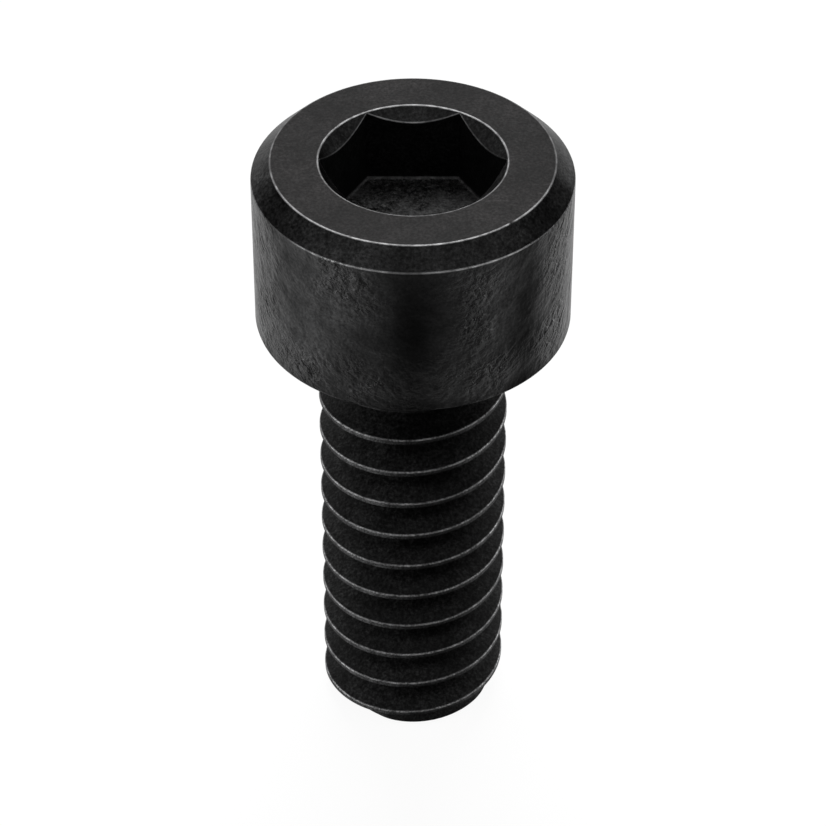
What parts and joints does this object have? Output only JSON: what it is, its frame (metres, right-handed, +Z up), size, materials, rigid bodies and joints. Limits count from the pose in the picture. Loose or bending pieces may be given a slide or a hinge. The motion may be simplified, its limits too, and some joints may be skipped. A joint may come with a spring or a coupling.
{
  "type": "hex socket cap screw",
  "caption": "Black hex socket cap screw with a plain cylindrical head, a chamfered top edge and a right-hand thread that runs almost up to the head.",
  "frame": {"origin": "centre of the flat end face of the thread, on which the screw stands", "axes": "+Z runs up the axis from the end face to the head; +X points at a corner of the hexagon socket, and -Y is the side that the picture shows"},
  "size_m": [0.008, 0.008, 0.0174],
  "materials": {
    "black_oxide_steel": "satin"
  },
  "bodies": {
    "root": {"screw": "black_oxide_steel"}
  },
  "joints": []
}
